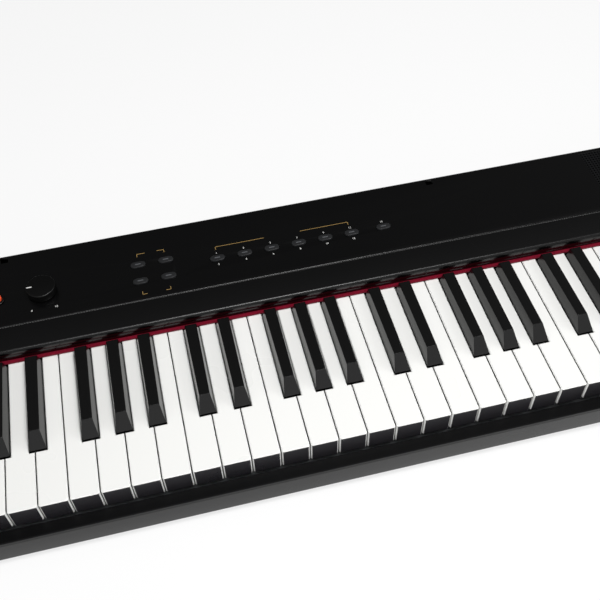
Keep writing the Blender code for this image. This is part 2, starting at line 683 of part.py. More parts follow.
def add_black_key(mesh, index, hollow, tail_behind=TAIL_BEHIND):
    """One black key: a stem between the white keys and a tapered cap on it."""
    x = sharp_centre(index)
    half = SHARP_BASE_WIDTH / 2
    front, rear, tail = behind(SHARP_FRONT), behind(SHARP_REAR), behind(tail_behind)
    plan = [(x - half, front), (x + half, front), (x + half, rear), (x + half, tail), (x - half, tail), (x - half, rear)]
    bottom = ring(mesh, [(px, py, underside(SHARP_DEPTH, py)) for px, py in plan])
    stem = ring(mesh, [(px, py, above(-SHARP_STEM_DROP)) for px, py in plan])
    bridge(mesh, bottom, stem)
    mesh.faces.new((stem[2], stem[3], stem[4], stem[5]))

    def cap_ring(front_half, rear_half, front_in, rear_in, front_rise, rear_rise):
        return ring(mesh, [(x - front_half, front + front_in, above(front_rise)),
                           (x + front_half, front + front_in, above(front_rise)),
                           (x + rear_half, rear - rear_in, above(rear_rise)),
                           (x - rear_half, rear - rear_in, above(rear_rise))])

    front_half, rear_half = SHARP_FRONT_TOP_WIDTH / 2, SHARP_REAR_TOP_WIDTH / 2
    base = cap_ring(half, half, 0.0, 0.0, SHARP_EDGE, SHARP_EDGE)
    shoulder = cap_ring(front_half + SHARP_EDGE, rear_half + SHARP_EDGE, SHARP_SLOPE - SHARP_EDGE, 0.0,
                        SHARP_FRONT_RISE - SHARP_EDGE, SHARP_REAR_RISE - SHARP_EDGE)
    crown = cap_ring(front_half, rear_half, SHARP_SLOPE, SHARP_EDGE, SHARP_FRONT_RISE, SHARP_REAR_RISE)
    bridge(mesh, [stem[0], stem[1], stem[2], stem[5]], base)
    bridge(mesh, base, shoulder)
    bridge(mesh, shoulder, crown)
    mesh.faces.new(crown)

    inner_half = half - KEY_WALL
    inner_front, inner_tail = front + KEY_WALL, behind(HOLLOW_END)
    inner = [(x - inner_half, inner_front), (x + inner_half, inner_front), (x + inner_half, rear),
             (x + inner_half, inner_tail), (x - inner_half, inner_tail), (x - inner_half, rear)]
    close_below(mesh, bottom, inner, SHARP_DEPTH, -SHARP_STEM_DROP - KEY_TOP_WALL, hollow)


def make_pivot_cutter():
    """The round channel that every key tail has over the pivot rail."""
    mesh = bmesh.new()
    outline = circle((behind(PIVOT_BEHIND), above(-PIVOT_DROP)), PIVOT_RADIUS + GAP, 12)
    prism_x(mesh, outline, -CASE_WIDTH / 2, CASE_WIDTH / 2)
    return cutter("cut_pivot_channel", mesh)


def make_single_key(name, add_key, index, material, channel):
    """A key on its own pivot, with its origin on the pivot axis."""
    mesh = bmesh.new()
    add_key(mesh, index, True)
    item = finish(name, mesh, material)
    x = sum(vertex.co.x for vertex in item.data.vertices) / len(item.data.vertices)
    set_origin(item, (x, behind(PIVOT_BEHIND), above(-PIVOT_DROP)))
    combine(item, channel)


def make_white_set(name, indices, channel):
    """White keys moulded on one rear rail."""
    mesh = bmesh.new()
    for index in indices:
        add_white_key(mesh, index, False)
    item = finish(name, mesh, KEY_WHITE)
    mesh = bmesh.new()
    tail = behind(TAIL_BEHIND)
    box(mesh, (white_left(indices[0]) + KEY_GAP, tail - KEY_WALL, above(-PIVOT_DROP + 2 * GAP)),
        (white_left(indices[-1] + 1) - KEY_GAP, tail + RAIL_WIDTH - KEY_WALL, above(-PIVOT_DROP + RAIL_WIDTH)))
    combine(item, cutter(f"add_{name}_rail", mesh), "UNION")
    combine(item, channel)


def make_black_set(name, indices, channel):
    """Black keys moulded on one rear rail that passes over the white keys' rail."""
    mesh = bmesh.new()
    tail_behind = TAIL_BEHIND - KEY_WALL - 2 * GAP
    for index in indices:
        add_black_key(mesh, index, False, tail_behind)
    item = finish(name, mesh, KEY_BLACK)
    tail = behind(tail_behind)
    rail_front = behind(TAIL_BEHIND) + RAIL_WIDTH
    rail_rear = rail_front + RAIL_WIDTH
    half = TOOTH_WIDTH / 2
    outline = [(sharp_centre(indices[-1]) + half, rail_rear), (sharp_centre(indices[0]) - half, rail_rear)]
    for index in indices:
        x = sharp_centre(index)
        if index != indices[0]:
            outline.append((x - half, rail_front))
        outline += [(x - half, tail - KEY_WALL), (x + half, tail - KEY_WALL)]
        if index != indices[-1]:
            outline.append((x + half, rail_front))
    low = above(-PIVOT_DROP + RAIL_WIDTH + 2 * GAP)
    mesh = bmesh.new()
    prism_z(mesh, outline, low, above(-SHARP_STEM_DROP - GAP))
    combine(item, cutter(f"add_{name}_rail", mesh), "UNION")
    combine(item, channel)


def make_keys():
    channel = make_pivot_cutter()
    single = [index for index in range(WHITE_COUNT) if white_name(index)[1] in SINGLE_OCTAVES]
    for index in single:
        letter, octave = white_name(index)
        make_single_key(f"key_{letter}{octave}", add_white_key, index, KEY_WHITE, channel)
        if has_sharp(index):
            make_single_key(f"key_{letter}{octave}_sharp", add_black_key, index, KEY_BLACK, channel)
    bass = list(range(single[0]))
    treble = list(range(single[-1] + 1, WHITE_COUNT))
    for name, indices in (("bass", bass), ("treble", treble)):
        make_white_set(f"{name}_white_keys", indices, channel)
        make_black_set(f"{name}_black_keys", [index for index in indices if has_sharp(index)], channel)


def make_key_frame():
    """The channel that carries the keys: pivot rail, feet and guide posts."""
    plate, under = -FRAME_PLATE_DROP, -FRAME_PLATE_DROP - FRAME_WALL
    foot = FLOOR_RISE + GAP
    middle = PIVOT_BEHIND / 2
    web = PIVOT_RADIUS * 0.8
    bar = arc((PIVOT_BEHIND, -PIVOT_DROP), PIVOT_RADIUS, 233, -53, 8)
    profile = [(0.0, foot), (0.0, plate), (PIVOT_BEHIND - web, plate), *bar, (PIVOT_BEHIND + web, plate),
               (FRAME_DEPTH, plate), (FRAME_DEPTH, foot), (FRAME_DEPTH - FRAME_WALL, foot),
               (FRAME_DEPTH - FRAME_WALL, under), (middle + FRAME_WALL, under), (middle + FRAME_WALL, foot),
               (middle, foot), (middle, under), (FRAME_WALL, under), (FRAME_WALL, foot)]
    mesh = bmesh.new()
    prism_x(mesh, to_world(profile), GAP - KEYBOARD_WIDTH / 2, KEYBOARD_WIDTH / 2 - GAP)
    item = finish("key_frame", mesh, FRAME_GREY)

    posts = bmesh.new()
    for index in range(WHITE_COUNT):
        if white_name(index)[1] not in SINGLE_OCTAVES:
            continue
        low = white_left(index) + KEY_GAP / 2 + KEY_WALL + SLIDE_GAP
        high = white_left(index + 1) - KEY_GAP / 2 - KEY_WALL - SLIDE_GAP
        add_guide(posts, low, high, GUIDE_BEHIND_FRONT)
        if has_sharp(index):
            reach = SHARP_BASE_WIDTH / 2 - KEY_WALL - SLIDE_GAP
            centre = sharp_centre(index)
            add_guide(posts, centre - reach, centre + reach, SHARP_FRONT + GUIDE_BEHIND_FRONT)
    combine(item, cutter("add_guide_posts", posts), "UNION")


def add_guide(mesh, low_x, high_x, depth):
    """A guide post that stands up inside a hollow key."""
    taper = GUIDE_LENGTH / 4
    outline = [(low_x, behind(depth)), (high_x, behind(depth)), (high_x, behind(depth + GUIDE_LENGTH)),
               (low_x, behind(depth + GUIDE_LENGTH))]
    tip = [(low_x, behind(depth + taper)), (high_x, behind(depth + taper)),
           (high_x, behind(depth + GUIDE_LENGTH - taper)), (low_x, behind(depth + GUIDE_LENGTH - taper))]
    base_z = above(-FRAME_PLATE_DROP - FRAME_WALL / 2)
    stack(mesh, [[(x, y, base_z) for x, y in outline], [(x, y, above(-GUIDE_TIP_DROP)) for x, y in tip]])


# Controls

def make_button(name, x, depth):
    """A pill cap that a flange keeps under the panel."""
    centre = (x, behind(depth))
    flange_top = PANEL_UNDER - GAP
    flange_bottom = flange_top - BUTTON_FLANGE
    top = PANEL_RISE + BUTTON_PROUD
    rim = 0.0005
    wide = pill(centre, BUTTON_WIDTH + 2 * BUTTON_FLANGE, BUTTON_DEPTH + 2 * BUTTON_FLANGE)
    cap = pill(centre, BUTTON_WIDTH, BUTTON_DEPTH)
    face = pill(centre, BUTTON_WIDTH - 2 * rim, BUTTON_DEPTH - 2 * rim)
    levels = ((wide, flange_bottom), (wide, flange_top), (cap, flange_top), (cap, top - rim), (face, top))
    mesh = bmesh.new()
    stack(mesh, [[(px, py, above(rise)) for px, py in outline] for outline, rise in levels])
    item = finish(name, mesh, BUTTON_GREY)
    set_origin(item, (x, behind(depth), above(PANEL_RISE)))


def make_power_button():
    centre = (POWER_X, behind(CONTROL_BEHIND))
    flange_top = PANEL_UNDER - GAP
    flange = POWER_RADIUS + SLIDE_GAP + BEZEL_WALL / 2
    top = PANEL_RISE + POWER_PROUD
    profile = ((flange, flange_top - 2 * BUTTON_FLANGE), (flange, flange_top - BUTTON_FLANGE),
               (POWER_RADIUS, flange_top - BUTTON_FLANGE), (POWER_RADIUS, top - 0.0012),
               (POWER_RADIUS - 0.0005, top - 0.0004), (POWER_RADIUS - 0.0016, top))
    mesh = bmesh.new()
    turned(mesh, centre, [(radius, above(rise)) for radius, rise in profile], 16)
    item = finish("power_button", mesh, POWER_ORANGE)
    set_origin(item, (*centre, above(PANEL_RISE)))


def make_power_bezel():
    """A flanged sleeve in the panel, round the power button."""
    centre = (POWER_X, behind(CONTROL_BEHIND))
    sleeve = POWER_RADIUS + SLIDE_GAP + BEZEL_WALL
    bottom = PANEL_UNDER - GAP
    top = PANEL_RISE + GAP + BEZEL_HEIGHT
    profile = ((sleeve, bottom), (sleeve, PANEL_RISE + GAP), (BEZEL_RADIUS, PANEL_RISE + GAP),
               (BEZEL_RADIUS, top - 0.0004), (BEZEL_RADIUS - 0.0005, top))
    mesh = bmesh.new()
    turned(mesh, centre, [(radius, above(rise)) for radius, rise in profile], 20)
    item = finish("power_bezel", mesh, KNOB_BLACK)
    bore = bmesh.new()
    prism_z(bore, circle(centre, POWER_RADIUS + SLIDE_GAP, 20), above(0.0), above(2 * PANEL_RISE))
    combine(item, cutter("cut_bezel_bore", bore))


def make_volume_knob():
    """A cap that widens downwards, on a shaft through the panel."""
    centre = (KNOB_X, behind(CONTROL_BEHIND))
    base = PANEL_RISE + 2 * GAP
    top = base + KNOB_HEIGHT
    edge = 0.0009
    profile = ((SHAFT_RADIUS, BOARD_RISE + 2 * GAP), (SHAFT_RADIUS, base), (KNOB_BASE_RADIUS - edge / 2, base),
               (KNOB_BASE_RADIUS, base + edge), (KNOB_RIM_RADIUS, top - edge), (KNOB_FACE_RADIUS, top))
    mesh = bmesh.new()
    turned(mesh, centre, [(radius, above(rise)) for radius, rise in profile], 24)
    item = finish("volume_knob", mesh, KNOB_BLACK)
    set_origin(item, (*centre, above(PANEL_RISE)))


# Boards

def make_panel_board():
    """Circuit board under the controls, with a switch below each one."""
    margin = 2 * BUTTON_FLANGE + POST_RADIUS
    low_x, high_x = POWER_X - BEZEL_RADIUS - margin, SPLIT_BUTTON_X + BUTTON_WIDTH + margin
    reach = BUTTON_ROW_OFFSET + BUTTON_DEPTH / 2 + margin / 2
    mesh = bmesh.new()
    box(mesh, (low_x, behind(CONTROL_BEHIND - reach), above(BOARD_RISE - BOARD_WALL)),
        (high_x, behind(CONTROL_BEHIND + reach), above(BOARD_RISE)))
    item = finish("panel_board", mesh, BOARD_GREEN)
    switches = bmesh.new()
    low = above(BOARD_RISE - BOARD_WALL / 2)
    pressed = PANEL_UNDER - GAP - BUTTON_FLANGE - BUTTON_TRAVEL - GAP
    half = SWITCH_SIZE / 2
    for _, x, depth in button_places():
        box(switches, (x - half, behind(depth) - half, low), (x + half, behind(depth) + half, above(pressed)))
    y = behind(CONTROL_BEHIND)
    pressed = PANEL_UNDER - GAP - 2 * BUTTON_FLANGE - POWER_TRAVEL - GAP
    box(switches, (POWER_X - half, y - half, low), (POWER_X + half, y + half, above(pressed)))
    pot = SWITCH_SIZE * 1.3
    box(switches, (KNOB_X - pot, y - pot, low), (KNOB_X + pot, y + pot, above(PANEL_UNDER - 4 * GAP)))
    combine(item, cutter("add_switches", switches), "UNION")
    bore = bmesh.new()
    prism_z(bore, circle((KNOB_X, y), SHAFT_RADIUS + SLIDE_GAP, 12), above(BOARD_RISE + GAP), above(PANEL_RISE))
    combine(item, cutter("cut_potentiometer", bore))


def rear_board(mesh, low_x, high_x):
    box(mesh, (low_x, behind(REAR_BOARD_END - REAR_BOARD_DEPTH), above(REAR_BOARD_TOP - BOARD_WALL)),
        (high_x, behind(REAR_BOARD_END), above(REAR_BOARD_TOP)))


def make_socket_board():
    """Board with the sockets that open through the rear wall."""
    places = socket_places()
    mesh = bmesh.new()
    rear_board(mesh, places[0][1] - SOCKET_PITCH / 2, places[-1][1] + SOCKET_PITCH / 2)
    item = finish("socket_board", mesh, BOARD_GREEN)
    bodies = bmesh.new()
    bores = bmesh.new()
    rear = behind(REAR_BOARD_END)
    for kind, x in places:
        box(bodies, (x - SOCKET_BODY / 2, rear - SOCKET_LENGTH, above(REAR_BOARD_TOP - BOARD_WALL / 2)),
            (x + SOCKET_BODY / 2, rear - GAP, above(SOCKET_CENTRE_RISE + SOCKET_BODY / 2)))
        sides = 4 if kind == "usb" else 12
        outline = circle((x, above(SOCKET_CENTRE_RISE)), SOCKET_BORE * (math.sqrt(2) if sides == 4 else 1.0), sides)
        stack(bores, [[(px, y, pz) for px, pz in outline] for y in (rear - SOCKET_DEPTH, rear + CASE_WALL)])
    combine(item, cutter("add_socket_bodies", bodies), "UNION")
    combine(item, cutter("cut_socket_bores", bores))


def make_main_board():
    """Sound board with its chips and connectors."""
    low_x, high_x = MAIN_BOARD_X - MAIN_BOARD_LENGTH / 2, MAIN_BOARD_X + MAIN_BOARD_LENGTH / 2
    mesh = bmesh.new()
    rear_board(mesh, low_x, high_x)
    item = finish("main_board", mesh, BOARD_GREEN)
    chips = bmesh.new()
    middle = behind(REAR_BOARD_END - REAR_BOARD_DEPTH / 2)
    bottom = above(REAR_BOARD_TOP - BOARD_WALL / 2)
    for x, width, depth, height in ((-0.040, 0.014, 0.014, 0.0016), (-0.008, 0.010, 0.020, 0.0014),
                                    (0.018, 0.008, 0.008, 0.0100), (0.044, 0.022, 0.006, 0.0060)):
        x += MAIN_BOARD_X
        box(chips, (x - width / 2, middle - depth / 2, bottom),
            (x + width / 2, middle + depth / 2, above(REAR_BOARD_TOP + height)))
    combine(item, cutter("add_chips", chips), "UNION")


def make_feet():
    """Four rubber feet under the lower case."""
    top = KEY_TOP - CASE_DROP - GAP
    edge = 0.0010
    profile = ((FOOT_RADIUS - edge, 0.0), (FOOT_RADIUS, edge), (FOOT_RADIUS, top))
    across = CASE_WIDTH / 2 - 2 * CHEEK_WIDTH
    for side, side_name in ((-1, "left"), (1, "right")):
        for depth, depth_name in ((CHEEK_WIDTH / 2, "front"), (REAR_BEHIND - CHEEK_WIDTH, "rear")):
            mesh = bmesh.new()
            turned(mesh, (side * across, behind(depth)), profile, 16)
            finish(f"foot_{depth_name}_{side_name}", mesh, FOOT_RUBBER)


make_upper_case()
make_lower_case()
make_front_rail()
make_felt_strip()
make_trim_strip()
for side_name, side_sign in (("left", -1), ("right", 1)):
    make_grille(f"speaker_grille_{side_name}", side_sign)
    make_speaker(f"speaker_{side_name}", side_sign)
make_keys()
make_key_frame()
for button_name, button_x, button_depth in button_places():
    make_button(button_name, button_x, button_depth)
make_power_button()
make_power_bezel()
make_volume_knob()
make_panel_board()
make_socket_board()
make_main_board()
make_feet()
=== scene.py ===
# %% [markdown]
# This file finishes a slim digital piano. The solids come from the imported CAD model, and every new piece
# here is placed from their sizes, so that it moves with the key, button or knob that carries it.

# %% Load the frame
import json
import math

import bpy
from mathutils import Matrix, Vector


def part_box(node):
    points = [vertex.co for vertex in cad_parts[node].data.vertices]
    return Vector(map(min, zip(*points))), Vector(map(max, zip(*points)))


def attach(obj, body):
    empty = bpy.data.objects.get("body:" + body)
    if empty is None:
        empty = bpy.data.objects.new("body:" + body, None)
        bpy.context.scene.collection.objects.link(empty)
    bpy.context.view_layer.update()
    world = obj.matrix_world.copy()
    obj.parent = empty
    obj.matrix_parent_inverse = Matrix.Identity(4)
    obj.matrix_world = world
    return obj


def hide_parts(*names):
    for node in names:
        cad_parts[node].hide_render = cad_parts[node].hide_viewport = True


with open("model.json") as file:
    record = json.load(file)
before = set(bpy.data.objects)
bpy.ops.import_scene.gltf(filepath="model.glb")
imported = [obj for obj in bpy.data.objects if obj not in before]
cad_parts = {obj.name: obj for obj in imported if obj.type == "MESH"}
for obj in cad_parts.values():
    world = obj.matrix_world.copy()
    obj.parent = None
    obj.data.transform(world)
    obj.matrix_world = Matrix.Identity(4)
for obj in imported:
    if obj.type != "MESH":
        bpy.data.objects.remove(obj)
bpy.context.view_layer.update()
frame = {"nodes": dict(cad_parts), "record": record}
nodes = frame["nodes"]

# %% [markdown]
# The places that several pieces share are read once from the CAD solids. The panel's top is the highest
# point of the upper case, and the key tops and key fronts come from one of the hinged white keys.

# %% Shared places
MM = 0.001
case_low, case_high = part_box("upper_case")
PANEL_TOP = case_high.z
key_low, key_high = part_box("key_C4")
KEY_TOP = key_high.z
KEY_FRONT = key_low.y
CASE_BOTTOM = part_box("lower_case")[0].z


def middle_of(node_name):
    low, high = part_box(node_name)
    return (low + high) / 2


print("panel top", PANEL_TOP, "key top", KEY_TOP, "key front", KEY_FRONT)

# %% [markdown]
# The photograph was taken from in front and a little to the left, from high up. The camera stands where
# a fit to the gaps between the white keys puts it, and its small roll is part of that fit.

# %% Camera
CAMERA_PLACE = Vector((-0.0513, -0.4411, 0.6461))
CAMERA_TURN = math.radians(12.21)
CAMERA_DROP = math.radians(50.99)
CAMERA_ROLL = math.radians(-1.74)
CAMERA_LENS = 51.05

forward = Vector((math.sin(CAMERA_TURN) * math.cos(CAMERA_DROP),
                  math.cos(CAMERA_TURN) * math.cos(CAMERA_DROP),
                  -math.sin(CAMERA_DROP)))
level = forward.cross(Vector((0, 0, 1))).normalized()
upright = level.cross(forward)
right = math.cos(CAMERA_ROLL) * level + math.sin(CAMERA_ROLL) * upright
up = math.cos(CAMERA_ROLL) * upright - math.sin(CAMERA_ROLL) * level
bpy.ops.object.camera_add()
camera = bpy.context.object
camera.name = "camera"
camera.data.lens = CAMERA_LENS
camera.data.sensor_width = 36
camera.data.clip_start = 0.01
camera.matrix_world = Matrix.Translation(CAMERA_PLACE) @ Matrix((right, up, -forward)).transposed().to_4x4()
bpy.context.scene.camera = camera
print("camera at", tuple(CAMERA_PLACE), "lens", CAMERA_LENS)

# %% [markdown]
# A moulded plastic is never one flat tone. Each finish is a Principled shader with a fine noise that
# shifts the roughness a little and a second one that gives the surface the grain of its mould.

# %% Finishes
def new_material(name, colour, roughness, specular=0.5, metallic=0.0):
    material = bpy.data.materials.new(name)
    material.use_nodes = True
    shader = material.node_tree.nodes["Principled BSDF"]
    shader.inputs["Base Color"].default_value = (*colour, 1)
    shader.inputs["Roughness"].default_value = roughness
    shader.inputs["Specular IOR Level"].default_value = specular
    shader.inputs["Metallic"].default_value = metallic
    return material, material.node_tree, shader


def add_grain(tree, shader, scale, strength, roughness, spread):
    """A mould grain, and roughness that wanders by the spread."""
    place = tree.nodes.new("ShaderNodeTexCoord")
    grain = tree.nodes.new("ShaderNodeTexNoise")
    grain.inputs["Scale"].default_value = scale
    grain.inputs["Detail"].default_value = 3
    bump = tree.nodes.new("ShaderNodeBump")
    bump.inputs["Strength"].default_value = strength
    bump.inputs["Distance"].default_value = 0.05 * MM
    wear = tree.nodes.new("ShaderNodeTexNoise")
    wear.inputs["Scale"].default_value = 14
    spread_map = tree.nodes.new("ShaderNodeMapRange")
    spread_map.inputs["To Min"].default_value = roughness - spread
    spread_map.inputs["To Max"].default_value = roughness + spread
    tree.links.new(place.outputs["Object"], grain.inputs["Vector"])
    tree.links.new(place.outputs["Object"], wear.inputs["Vector"])
    tree.links.new(grain.outputs["Fac"], bump.inputs["Height"])
    tree.links.new(bump.outputs["Normal"], shader.inputs["Normal"])
    tree.links.new(wear.outputs["Fac"], spread_map.inputs["Value"])
    tree.links.new(spread_map.outputs["Result"], shader.inputs["Roughness"])


def plastic(name, colour, roughness, specular=0.5, scale=2500, strength=0.25, spread=0.04):
    material, tree, shader = new_material(name, colour, roughness, specular)
    add_grain(tree, shader, scale, strength, roughness, spread)
    return material


CASE = plastic("satin_case", (0.0010, 0.0010, 0.0011), 0.27, 0.34, strength=0.08, spread=0.02)
RAIL = plastic("satin_rail", (0.0016, 0.0016, 0.0018), 0.36, 0.14)
BLACK_KEY = plastic("satin_black_key", (0.002, 0.002, 0.002), 0.19, 0.5, strength=0.06)
KNOB = plastic("satin_knob", (0.002, 0.002, 0.002), 0.30, 0.22)
BUTTON = plastic("satin_button", (0.014, 0.0145, 0.0155), 0.45, 0.25)
DASH = plastic("button_dash", (0.085, 0.088, 0.094), 0.45, 0.3)
LAMP_CAP = plastic("power_cap", (0.72, 0.075, 0.02), 0.32, 0.5, strength=0.1)
FRAME = plastic("moulded_frame", (0.22, 0.23, 0.24), 0.5)
SPEAKER = plastic("paper_cone", (0.012, 0.012, 0.012), 0.8, 0.2, scale=900)
RUBBER = plastic("foot_rubber_finish", (0.018, 0.018, 0.018), 0.85, 0.2, scale=1200)
BOARD = plastic("solder_mask", (0.015, 0.10, 0.04), 0.4)
PRINT = plastic("gold_print", (0.34, 0.22, 0.075), 0.55, 0.3, strength=0.05)
WHITE_PRINT = plastic("white_print", (0.75, 0.75, 0.73), 0.5, 0.3, strength=0.05)
STEEL = new_material("screw_steel", (0.30, 0.30, 0.31), 0.35, 0.5, 1.0)[0]
GRILLE = plastic("painted_grille", (0.004, 0.004, 0.0045), 0.45, 0.2)

# %% [markdown]
# The white keys are bright on top. Their fronts are painted near black, a painted shade for the shadow on
# them, and behind the front their sides are painted a duller grey, a painted shade in the gaps that draws
# the thin lines between the keys. One material serves all: it reads the height and the depth on the key
# itself, so the borders stay put when the key goes down.

# %% Key finish with painted shade
KEY_TONE = (0.83, 0.83, 0.81, 1)
# Painted shade: the side and front tones stand for shade on the keys, not for a colour of their plastic.
KEY_SIDE_PAINTED_SHADE = (0.10, 0.10, 0.10, 1)
KEY_FRONT_PAINTED_SHADE = (0.022, 0.021, 0.024, 1)
KEY_ROUGHNESS = 0.28
TOP_EDGE = 0.9 * MM
FRONT_SKIN = 0.3 * MM
SIDE_START = 2.5 * MM


def past(tree, source, operation, limit):
    """One where the source is past the limit, and zero elsewhere."""
    node = tree.nodes.new("ShaderNodeMath")
    node.operation = operation
    node.inputs[1].default_value = limit
    tree.links.new(source, node.inputs[0])
    return node.outputs["Value"]


def product(tree, first, second):
    node = tree.nodes.new("ShaderNodeMath")
    node.operation = "MULTIPLY"
    tree.links.new(first, node.inputs[0])
    tree.links.new(second, node.inputs[1])
    return node.outputs["Value"]


def two_tones(tree, factor, first, second):
    """The first colour where the factor is zero, and the second where it is one."""
    node = tree.nodes.new("ShaderNodeMix")
    node.data_type = "RGBA"
    node.inputs["A"].default_value = first
    node.inputs["B"].default_value = second
    tree.links.new(factor, node.inputs["Factor"])
    return node


WHITE_KEY, tree, shader = new_material("key_white_painted_shade", KEY_TONE[:3], KEY_ROUGHNESS)
add_grain(tree, shader, 1800, 0.08, KEY_ROUGHNESS, 0.03)
place = tree.nodes.new("ShaderNodeTexCoord")
split = tree.nodes.new("ShaderNodeSeparateXYZ")
tree.links.new(place.outputs["Object"], split.inputs["Vector"])
below_top = past(tree, split.outputs["Z"], "LESS_THAN", KEY_TOP - TOP_EDGE)
# The front face and the sides behind it are the zones that get the painted shade.
front_shade_zone = past(tree, split.outputs["Y"], "LESS_THAN", KEY_FRONT + FRONT_SKIN)
side_shade_zone = past(tree, split.outputs["Y"], "GREATER_THAN", KEY_FRONT + SIDE_START)
# Grey painted shade on the sides behind the front, then a near-black painted shade on the front face.
sides = two_tones(tree, product(tree, side_shade_zone, below_top), KEY_TONE, KEY_SIDE_PAINTED_SHADE)
tone = two_tones(tree, product(tree, front_shade_zone, below_top), KEY_TONE, KEY_FRONT_PAINTED_SHADE)
tree.links.new(sides.outputs["Result"], tone.inputs["A"])
tree.links.new(tone.outputs["Result"], shader.inputs["Base Color"])
print("key finish turns dark below", KEY_TOP - TOP_EDGE)

# %% [markdown]
# Felt has no gloss, and its loose fibres catch light at the edge. A coarse noise mixes two reds, a fine
# one raises the nap, and sheen gives the pale rim.

# %% Felt
FELT, tree, shader = new_material("red_felt", (0.30, 0.004, 0.022), 0.95, 0.1)
add_grain(tree, shader, 3000, 0.9, 0.92, 0.05)
shader.inputs["Sheen Weight"].default_value = 0.35
shader.inputs["Sheen Tint"].default_value = (0.9, 0.25, 0.35, 1)
place = tree.nodes.new("ShaderNodeTexCoord")
nap = tree.nodes.new("ShaderNodeTexNoise")
nap.inputs["Scale"].default_value = 700
reds = tree.nodes.new("ShaderNodeValToRGB")
reds.color_ramp.elements[0].color = (0.08, 0.0008, 0.007, 1)
reds.color_ramp.elements[1].color = (0.20, 0.0025, 0.017, 1)
tree.links.new(place.outputs["Object"], nap.inputs["Vector"])
tree.links.new(nap.outputs["Fac"], reds.inputs["Fac"])
tree.links.new(reds.outputs["Color"], shader.inputs["Base Color"])

# %% [markdown]
# The trim strip is finely ribbed across. The ribs are very shallow and a little over two millimetres
# apart, so a wave along the strip raises them in the shader, where modelled ribs would need many faces.
# The same wave also paints each rib's crest lighter than its trough, a painted highlight on the ribs over
# the strip's own dark grey.

# %% Trim finish
TRIM, tree, shader = new_material("ribbed_trim", (0.03, 0.03, 0.032), 0.45, 0.2)
RIB_PITCH = 2.3 * MM
place = tree.nodes.new("ShaderNodeTexCoord")
ribs = tree.nodes.new("ShaderNodeTexWave")
ribs.bands_direction = "X"
ribs.inputs["Scale"].default_value = math.pi / 10 / RIB_PITCH
bump = tree.nodes.new("ShaderNodeBump")
bump.inputs["Distance"].default_value = 0.3 * MM
# Painted highlight: this ramp makes the rib crests lighter than the troughs, standing for light glinting on
# them.
painted_rib_highlight = tree.nodes.new("ShaderNodeValToRGB")
painted_rib_highlight.color_ramp.elements[0].color = (0.004, 0.004, 0.004, 1)
painted_rib_highlight.color_ramp.elements[1].color = (0.05, 0.05, 0.05, 1)
tree.links.new(place.outputs["Object"], ribs.inputs["Vector"])
tree.links.new(ribs.outputs["Fac"], bump.inputs["Height"])
tree.links.new(ribs.outputs["Fac"], painted_rib_highlight.inputs["Fac"])
tree.links.new(painted_rib_highlight.outputs["Color"], shader.inputs["Base Color"])
tree.links.new(bump.outputs["Normal"], shader.inputs["Normal"])
print("ribs every", RIB_PITCH)

# %% [markdown]
# Every CAD node first gets the finish of its material slot. The nodes that are looked at closely are
# replaced further down.

# %% Dress the CAD nodes
FINISHES = {
    "case_black": CASE, "rail_black": RAIL, "key_white": WHITE_KEY, "key_black": BLACK_KEY, "felt_red": FELT,
    "frame_grey": FRAME, "button_grey": BUTTON, "knob_black": KNOB, "power_orange": LAMP_CAP,
    "grille_black": GRILLE, "trim_black": TRIM, "speaker_black": SPEAKER, "board_green": BOARD,
    "foot_rubber": RUBBER,
}
slot_of = {part["node"]: part["material_slot"] for part in frame["record"]["subparts"]}


def dress(item, material):
    if not item.material_slots:
        item.data.materials.append(material)
    for slot in item.material_slots:
        slot.material = material


for name, node in nodes.items():
    dress(node, FINISHES[slot_of[name]])
print("dressed", len(nodes))

# %% [markdown]
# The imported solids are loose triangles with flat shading. A moulded case has soft radii, so a copy of the
# solid has its doubled corners merged and is shaded smooth up to an angle. Weighted normals then keep the
# large flat faces flat, where plain smooth shading would draw long streaks across them.

# %% Helpers for selecting and copying
def select_only(item):
    bpy.ops.object.select_all(action="DESELECT")
    item.select_set(True)
    bpy.context.view_layer.objects.active = item


def smooth_copy(node_name, body, name, angle=38):
    """A merged and smoothly shaded copy that stands for a CAD node."""
    item = nodes[node_name].copy()
    item.data = nodes[node_name].data.copy()
    for key in list(item.keys()):
        del item[key]
    item.parent = None
    item.name = name
    bpy.context.scene.collection.objects.link(item)
    select_only(item)
    bpy.ops.object.mode_set(mode="EDIT")
    bpy.ops.mesh.select_all(action="SELECT")
    bpy.ops.mesh.remove_doubles(threshold=0.002 * MM)
    bpy.ops.object.mode_set(mode="OBJECT")
    bpy.ops.object.shade_smooth_by_angle(angle=math.radians(angle))
    weights = item.modifiers.new("weights", "WEIGHTED_NORMAL")
    weights.keep_sharp = True
    bpy.ops.object.modifier_apply(modifier="weights")
    dress(item, FINISHES[slot_of[node_name]])
    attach(item, body)
    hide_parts(node_name)
    return item


# %% [markdown]
# The black keys are sharp-edged solids, and the light line where the front slope meets the top needs a
# real radius. A narrow Bevel goes on every edge of a black key that turns by more than thirty degrees.

# %% Black keys
KEY_RADIUS = 0.35 * MM


def rounded(item, width, segments):
    """Rounds the sharp edges of a copy and shades it again."""
    select_only(item)
    radius = item.modifiers.new("radius", "BEVEL")
    radius.width = width
    radius.segments = segments
    radius.limit_method = "ANGLE"
    radius.angle_limit = math.radians(30)
    bpy.ops.object.modifier_apply(modifier="radius")
    bpy.ops.object.shade_smooth_by_angle(angle=math.radians(35))
    weights = item.modifiers.new("weights", "WEIGHTED_NORMAL")
    weights.keep_sharp = True
    bpy.ops.object.modifier_apply(modifier="weights")


black_keys = sorted(name for name in nodes if slot_of[name] == "key_black")
for node_name in black_keys:
    body = node_name if node_name.startswith("key_") else "case"
    rounded(smooth_copy(node_name, body, f"{node_name}_rounded"), KEY_RADIUS, 2)
print("black key pieces", len(black_keys))

